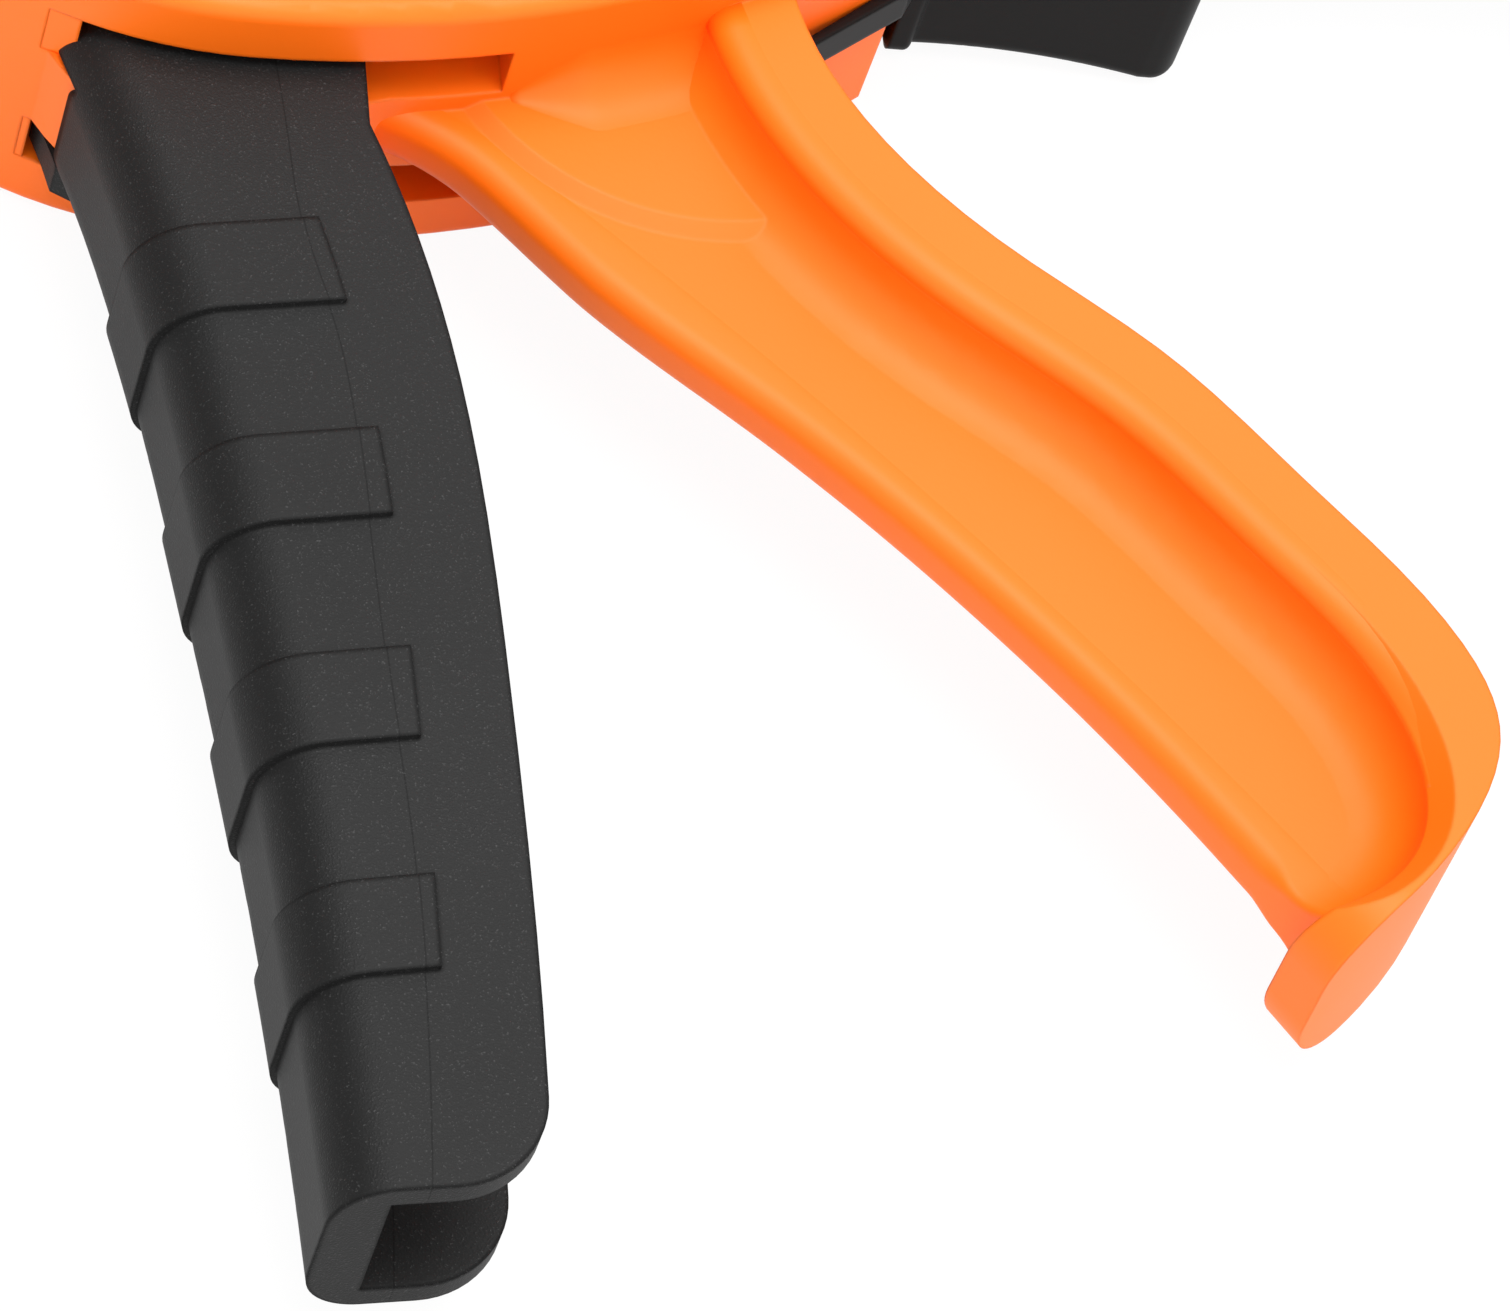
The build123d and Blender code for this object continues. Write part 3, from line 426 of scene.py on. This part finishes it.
housing = nodes["housing"]
walls = BVHTree.FromPolygons([housing.matrix_world @ spot.co
                              for spot in housing.data.vertices],
                             [face.vertices for face in housing.data.polygons])
guide = through(EDGE_GUIDE, EDGE_STEPS)
hits = []
for before, spot, after in zip([guide[0]] + guide, guide, guide[1:] + [guide[-1]]):
    way = (after - before).normalized()
    into = Vector((-way.y, way.x, 0))
    source = spot.to_3d() + Vector((0, 0, WALL_Z)) - into * RAY_START
    hit = walls.ray_cast(source, into)[0]
    hits.append(hit.to_2d())
for smoothing in range(SMOOTHINGS):
    hits = [hits[0]] + [(a + 2 * b + c) / 4
                        for a, b, c in zip(hits, hits[1:], hits[2:])] + [hits[-1]]
hits.insert(0, hits[0] + (hits[0] - hits[3]).normalized() * START_RUN)
for side, word in ((1, "near"), (-1, "far")):
    rings = []
    for index, (before, spot, after) in enumerate(zip([hits[0]] + hits, hits,
                                                      hits[1:] + [hits[-1]])):
        way = (after - before).normalized()
        into = Vector((-way.y, way.x))
        bulge = eased((len(hits) - 1 - index) / EDGE_FADE)
        sink = EDGE_SINK * (1 - bulge)
        rings.append([(spot.x + into.x * (deep + sink), spot.y + into.y * (deep + sink),
                       side * (high - sink)) for deep, high in edge_section(bulge)])
    solid_piece(f"flange_edge_{word}", drawn_through(rings), "housing",
                orange_moulding)

# ---- ends of the ear slots ----
# The two slots in the belly that the lever's ears work in close round behind the ears, and
# are one with the housing.

SLOT_END = -0.1133
SLOT_LOW = 0.0050
SLOT_HIGH = 0.0106
NEAR_STOP = ((SLOT_END, -0.0681), (SLOT_END, -0.0560), (-0.1050, -0.0560),
             (-0.1064, -0.0600), (-0.11035, -0.06775), (-0.11035, -0.0692))
FAR_STOP = ((SLOT_END, -0.0681), (SLOT_END, -0.0560), (-0.1120, -0.0560),
            (-0.1125, -0.0684))


def plate(outline, low, high):
    """Flat plate with a given outline between two heights."""
    work = bmesh.new()
    face = work.faces.new([work.verts.new((x, y, low)) for x, y in outline])
    grown = bmesh.ops.extrude_face_region(work, geom=[face])
    bmesh.ops.translate(work, vec=(0, 0, high - low),
                        verts=[part for part in grown["geom"]
                               if isinstance(part, bmesh.types.BMVert)])
    return work


for word, outline, low, high in (("near", NEAR_STOP, SLOT_LOW, SLOT_HIGH),
                                 ("far", FAR_STOP, -SLOT_HIGH, -SLOT_LOW)):
    solid_piece(f"slot_end_{word}", plate(outline, low, high), "housing",
                orange_moulding, smooth=False)

# ---- squeeze lever ----
# A black nylon channel with rib bands round its spine, coarser in grain than the body so
# that it doesn't slip in the palm. A fine seam of the mould runs down each side.

SEAM_TOP = -0.070
SEAM_FOOT = -0.190
SEAM_REAR = -0.096
SEAM_FRONT = -0.084
SEAM_WIDTH = 0.00011
SEAM_STRENGTH = 0.45
# share of the way up from the seam's foot, and share of the way ahead
SEAM_COURSE = ((0.0, 0.86), (0.05, 0.9), (0.26, 0.93), (0.47, 0.8), (0.7, 0.66),
               (0.86, 0.36), (0.95, 0.29), (1.0, 0.24))
SEAM_SHINE = 0.1
FACE_SHINE = 0.24
EDGE_SHINE = 0.08
GRIP_PALE = (0.010, 0.010, 0.010)
GRIP_DEEP = (0.007, 0.007, 0.007)
SPECK_TONE = (0.05, 0.05, 0.05, 1)
SEAM_TONE = (0.002, 0.002, 0.002, 1)
FAR_EAR = ((-0.1120, -0.0669), (-0.1110, -0.0701), (-0.1103, -0.0730), (-0.1080, -0.0742),
           (-0.1070, -0.0655), (-0.1090, -0.0659))
FAR_EAR_LOW = -0.0094
FAR_EAR_HIGH = -0.0056


def make_seam_group():
    """Mask of the thin mould seam that follows the lever's front edge."""
    group = bpy.data.node_groups.new("lever_seam", "ShaderNodeTree")
    output_socket(group, "Seam")
    tree, link = group.nodes, group.links.new
    out = tree.new("NodeGroupOutput")
    place = tree.new("ShaderNodeTexCoord")
    split = tree.new("ShaderNodeSeparateXYZ")
    down = tree.new("ShaderNodeMapRange")
    down.inputs["From Min"].default_value = SEAM_FOOT
    down.inputs["From Max"].default_value = SEAM_TOP
    course = tree.new("ShaderNodeFloatCurve")
    points = course.mapping.curves[0].points
    points[0].location = SEAM_COURSE[0]
    points[1].location = SEAM_COURSE[-1]
    for spot in SEAM_COURSE[1:-1]:
        points.new(*spot)
    course.mapping.update()
    ahead = tree.new("ShaderNodeMapRange")
    ahead.inputs["To Min"].default_value = SEAM_REAR
    ahead.inputs["To Max"].default_value = SEAM_FRONT
    away = tree.new("ShaderNodeMath")
    away.operation = "SUBTRACT"
    near = tree.new("ShaderNodeMath")
    near.operation = "ABSOLUTE"
    line = tree.new("ShaderNodeMapRange")
    line.interpolation_type = "SMOOTHSTEP"
    line.inputs["From Min"].default_value = SEAM_WIDTH
    line.inputs["From Max"].default_value = SEAM_WIDTH / 3
    line.inputs["To Max"].default_value = SEAM_STRENGTH
    link(place.outputs["Object"], split.inputs["Vector"])
    link(split.outputs["Y"], down.inputs["Value"])
    link(down.outputs["Result"], course.inputs["Value"])
    link(course.outputs["Value"], ahead.inputs["Value"])
    link(split.outputs["X"], away.inputs[0])
    link(ahead.outputs["Result"], away.inputs[1])
    link(away.outputs["Value"], near.inputs[0])
    link(near.outputs["Value"], line.inputs["Value"])
    link(line.outputs["Result"], out.inputs["Seam"])
    return group


def black_grip(name, seamed):
    """Coarsely grained black nylon with pale specks, less shine on its rounded edges and rib
    borders as painted shade, and the mould's seam where it has one.
    """
    material = moulded(name, GRIP_PALE, GRIP_DEEP, rough=0.56, grain_scale=5200,
                       grain_depth=0.00006, edge_radius=0.0008, specular=FACE_SHINE)
    tree, link = material.node_tree.nodes, material.node_tree.links.new
    shader, skin, tint = tree["Principled BSDF"], tree["skin"], tree["tint"]
    dots = tree.new("ShaderNodeMix")
    dots.data_type = "RGBA"
    dots.inputs["B"].default_value = SPECK_TONE
    link(skin.outputs["Specks"], dots.inputs["Factor"])
    link(tint.outputs["Result"], dots.inputs["A"])
    link(dots.outputs["Result"], shader.inputs["Base Color"])
    # Painted shade: the shine is cut on rounded edges and rib borders, so that they show as
    # dark shaded lines.
    painted_edge_shade = tree.new("ShaderNodeMapRange")
    painted_edge_shade.inputs["To Min"].default_value = FACE_SHINE
    painted_edge_shade.inputs["To Max"].default_value = EDGE_SHINE
    link(skin.outputs["Edges"], painted_edge_shade.inputs["Value"])
    link(painted_edge_shade.outputs["Result"], shader.inputs["Specular IOR Level"])
    if seamed:
        seam = tree.new("ShaderNodeGroup")
        seam.node_tree = make_seam_group()
        dark = tree.new("ShaderNodeMix")
        dark.data_type = "RGBA"
        dark.inputs["B"].default_value = SEAM_TONE
        dull = tree.new("ShaderNodeMix")
        dull.inputs["B"].default_value = SEAM_SHINE
        link(seam.outputs["Seam"], dark.inputs["Factor"])
        link(dots.outputs["Result"], dark.inputs["A"])
        link(dark.outputs["Result"], shader.inputs["Base Color"])
        link(seam.outputs["Seam"], dull.inputs["Factor"])
        link(painted_edge_shade.outputs["Result"], dull.inputs["A"])
        link(dull.outputs["Result"], shader.inputs["Specular IOR Level"])
    return material


finish_node("squeeze_lever", black_grip("grip_moulding", True))
black_moulding = black_grip("black_moulding", False)
solid_piece("far_ear_corner", plate(FAR_EAR, FAR_EAR_LOW, FAR_EAR_HIGH), "lever",
            black_moulding, smooth=False)
finish_node("release_button", black_moulding)
finish_node("front_bar_guide", black_moulding)

# ---- jaw pads ----
# Soft boots of smooth thermoplastic rubber, pushed over a boss on each jaw. They are finer
# in skin and a little darker than the lever.

pad_rubber = moulded("pad_rubber", (0.006, 0.006, 0.006), (0.004, 0.004, 0.004), rough=0.45,
                     grain_scale=900, grain_depth=0.00001, edge_radius=0.0006, specular=0.13)
finish_node("moving_jaw_pad", pad_rubber)
finish_node("fixed_jaw_pad", pad_rubber)

# ---- bar, plates, pins and springs ----
# Drawn bar with a brushed length, stamped plates, turned pins and oiled spring wire. The
# marks of each lie the way that it was worked.

MARK_SCALE = 60.0
MARK_SPREAD = 0.08


def steel(name, pale, deep, rough, along):
    """Worked steel with fine marks drawn out along one axis."""
    material = bpy.data.materials.new(name)
    material.use_nodes = True
    tree, link = material.node_tree.nodes, material.node_tree.links.new
    shader = tree["Principled BSDF"]
    shader.inputs["Metallic"].default_value = 1.0
    place = tree.new("ShaderNodeTexCoord")
    stretch = tree.new("ShaderNodeMapping")
    stretch.inputs["Scale"].default_value = along
    marks = tree.new("ShaderNodeTexNoise")
    marks.inputs["Scale"].default_value = MARK_SCALE
    marks.inputs["Detail"].default_value = 4.0
    tint = tree.new("ShaderNodeMix")
    tint.data_type = "RGBA"
    tint.inputs["A"].default_value = (*pale, 1)
    tint.inputs["B"].default_value = (*deep, 1)
    spread = tree.new("ShaderNodeMapRange")
    spread.inputs["To Min"].default_value = rough - MARK_SPREAD
    spread.inputs["To Max"].default_value = rough + MARK_SPREAD
    link(place.outputs["Object"], stretch.inputs["Vector"])
    link(stretch.outputs["Vector"], marks.inputs["Vector"])
    link(marks.outputs["Fac"], tint.inputs["Factor"])
    link(tint.outputs["Result"], shader.inputs["Base Color"])
    link(marks.outputs["Fac"], spread.inputs["Value"])
    link(spread.outputs["Result"], shader.inputs["Roughness"])
    return material


bar_steel = steel("bar_steel", (0.55, 0.55, 0.56), (0.42, 0.42, 0.43), 0.34, (0.4, 18, 18))
plate_steel = steel("plate_steel", (0.34, 0.34, 0.35), (0.24, 0.24, 0.25), 0.45, (4, 4, 4))
pin_steel = steel("pin_steel", (0.60, 0.60, 0.61), (0.48, 0.48, 0.49), 0.3, (8, 8, 1))
spring_steel = steel("spring_steel", (0.45, 0.45, 0.46), (0.36, 0.36, 0.37), 0.35, (6, 6, 6))
finish_node("bar", bar_steel)
for node in ("drive_plate_front", "drive_plate_rear", "brake_plate", "lock_button"):
    finish_node(node, plate_steel)
for node in ("rear_cap_pins", "lever_pivot_pin", "pivot_clips", "brake_anchor_pin",
             "end_cap_pin", "lock_clip"):
    finish_node(node, pin_steel)

# ---- springs ----
# Three round-wire coils, each drawn open between its fixed end and the plate or button that it
# pushes. The joint that closes each one by its travel and the share left when closed are
# listed but not used.

COIL_STEPS = 28
WIRE_SIDES = 10
#        node, body, joint, fixed end, way, length, radius, wire, coils, share left when closed
COILS = (("drive_spring", "housing", "plates_slide", (-0.1250, -0.0285, 0), (1, 0, 0),
          0.0232, 0.01096, 0.0016, 4, 0.77),
         ("brake_spring", "housing", "brake_release", (-0.0919, -0.0123, 0), (1, 0, 0),
          0.01995, 0.0036, 0.0010, 5, 0.745),
         ("lock_spring", "bar", "lock_press", (0.1945, -0.0285, 0.0075), (0, 0, 1),
          0.0064, 0.00464, 0.0009, 4, 0.52))


def coil_rings(start, way, length, radius, wire, coils):
    """Rings of the wire along an open coil that keeps wholly within its length."""
    forward = Vector(way)
    side = forward.orthogonal().normalized()
    up = forward.cross(side)
    rise = (length - wire) / (coils * COIL_STEPS)
    rings = []
    for step in range(coils * COIL_STEPS + 1):
        turn = 2 * math.pi * step / COIL_STEPS
        out = side * math.cos(turn) + up * math.sin(turn)
        middle = Vector(start) + forward * (wire / 2 + rise * step) + out * radius
        rings.append([middle + (out * math.cos(2 * math.pi * part / WIRE_SIDES)
                                + forward * math.sin(2 * math.pi * part / WIRE_SIDES))
                      * wire / 2 for part in range(WIRE_SIDES)])
    return rings


for node, body, joint, start, way, length, radius, wire, coils, share in COILS:
    work = drawn_through(coil_rings(start, way, length, radius, wire, coils))
    piece = solid_piece(f"{node}_coil", work, body, spring_steel)
    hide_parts(node)
    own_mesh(piece)

# ---- floor, light and camera ----
# A pale table top under soft studio light, the camera looking down on the handles. The room
# is white but for a dark side at the far left.

FLOOR_Z = -0.017
FLOOR_GAP = 0.0002
FLOOR_SIZE = 6.0
PAPER = (0.9, 0.9, 0.9, 1)
SHEET_GLOW = 0.94
SHEET_SHADE = 0.08
ROOM_LIGHT = 1.25
ROOM_DARK = 0.1
DARK_SIDE = (-0.80, 0.55, 0.23)
DARK_START = 0.35
DARK_FULL = 0.95
KEY_PLACE = (-0.02, -0.02, 1.7)
KEY_AIM = (-0.05, -0.1, 0)
KEY_SIZE = 1.4
KEY_POWER = 27
CAMERA_PLACE = (-0.21181, -0.50839, 0.55862)
CAMERA_RIGHT = (0.97112, -0.07753, 0.22565)
CAMERA_UP = (-0.06206, 0.83113, 0.55260)
CAMERA_BACK = (-0.23039, -0.55064, 0.80232)
FOCAL_LENGTH = 190.9
SENSOR_WIDTH = 36.0
FAR_CLIP = 20.0

floor_mesh = bpy.data.meshes.new("floor")
work = bmesh.new()
bmesh.ops.create_grid(work, x_segments=1, y_segments=1, size=FLOOR_SIZE)
bmesh.ops.translate(work, verts=work.verts, vec=(0, 0, FLOOR_Z - FLOOR_GAP))
work.to_mesh(floor_mesh)
work.free()
floor = bpy.data.objects.new("floor", floor_mesh)
bpy.context.scene.collection.objects.link(floor)

paper = bpy.data.materials.new("paper")
paper.use_nodes = True
tree, link = paper.node_tree.nodes, paper.node_tree.links.new
sheet_shader = tree["Principled BSDF"]
sheet_shader.inputs["Base Color"].default_value = PAPER
sheet_shader.inputs["Roughness"].default_value = 0.9
sheet_shader.inputs["Specular IOR Level"].default_value = 0.0
glow = tree.new("ShaderNodeEmission")
glow.inputs["Strength"].default_value = SHEET_GLOW
faint = tree.new("ShaderNodeMixShader")
faint.inputs["Fac"].default_value = SHEET_SHADE
lit = tree.new("ShaderNodeAddShader")
none = tree.new("ShaderNodeEmission")
none.inputs["Strength"].default_value = 0.0
choose = tree.new("ShaderNodeMixShader")
rays = tree.new("ShaderNodeLightPath")
seen = tree.new("ShaderNodeMath")
seen.operation = "ADD"
either = tree.new("ShaderNodeMath")
either.operation = "ADD"
either.use_clamp = True
link(none.outputs["Emission"], faint.inputs[1])
link(sheet_shader.outputs["BSDF"], faint.inputs[2])
link(faint.outputs["Shader"], lit.inputs[0])
link(glow.outputs["Emission"], lit.inputs[1])
link(rays.outputs["Is Camera Ray"], seen.inputs[0])
link(rays.outputs["Is Glossy Ray"], seen.inputs[1])
link(seen.outputs["Value"], either.inputs[0])
link(rays.outputs["Is Transmission Ray"], either.inputs[1])
link(either.outputs["Value"], choose.inputs["Fac"])
link(sheet_shader.outputs["BSDF"], choose.inputs[1])
link(lit.outputs["Shader"], choose.inputs[2])
link(choose.outputs["Shader"], tree["Material Output"].inputs["Surface"])
floor_mesh.materials.append(paper)

world = bpy.data.worlds.new("studio")
bpy.context.scene.world = world
world.use_nodes = True
tree, link = world.node_tree.nodes, world.node_tree.links.new
room = tree["Background"]
toward = tree.new("ShaderNodeTexCoord")
facing = tree.new("ShaderNodeVectorMath")
facing.operation = "DOT_PRODUCT"
facing.inputs[1].default_value = DARK_SIDE
shade = tree.new("ShaderNodeMapRange")
shade.interpolation_type = "SMOOTHSTEP"
shade.inputs["From Min"].default_value = DARK_START
shade.inputs["From Max"].default_value = DARK_FULL
shade.inputs["To Min"].default_value = ROOM_LIGHT
shade.inputs["To Max"].default_value = ROOM_DARK
room.inputs["Color"].default_value = (1, 1, 1, 1)
backdrop = tree.new("ShaderNodeBackground")
backdrop.inputs["Color"].default_value = (1, 1, 1, 1)
choose = tree.new("ShaderNodeMixShader")
rays = tree.new("ShaderNodeLightPath")
link(toward.outputs["Generated"], facing.inputs[0])
link(facing.outputs["Value"], shade.inputs["Value"])
link(shade.outputs["Result"], room.inputs["Strength"])
link(rays.outputs["Is Camera Ray"], choose.inputs["Fac"])
link(room.outputs["Background"], choose.inputs[1])
link(backdrop.outputs["Background"], choose.inputs[2])
link(choose.outputs["Shader"], tree["World Output"].inputs["Surface"])


def soft_box(name, place, aim, size, power):
    """Square area lamp that faces a point."""
    lamp = bpy.data.lights.new(name, "AREA")
    lamp.size = size
    lamp.energy = power
    holder = bpy.data.objects.new(name, lamp)
    holder.location = place
    holder.rotation_mode = "QUATERNION"
    holder.rotation_quaternion = (Vector(aim) - Vector(place)).to_track_quat("-Z", "Y")
    bpy.context.scene.collection.objects.link(holder)


soft_box("key", KEY_PLACE, KEY_AIM, KEY_SIZE, KEY_POWER)

camera_data = bpy.data.cameras.new("camera")
camera_data.sensor_width = SENSOR_WIDTH
camera_data.lens = FOCAL_LENGTH
camera_data.clip_end = FAR_CLIP
camera = bpy.data.objects.new("camera", camera_data)
bpy.context.scene.collection.objects.link(camera)
turn = Matrix((CAMERA_RIGHT, CAMERA_UP, CAMERA_BACK)).transposed().to_4x4()
camera.matrix_world = Matrix.Translation(CAMERA_PLACE) @ turn
bpy.context.scene.camera = camera
bpy.context.scene.view_settings.view_transform = "Standard"
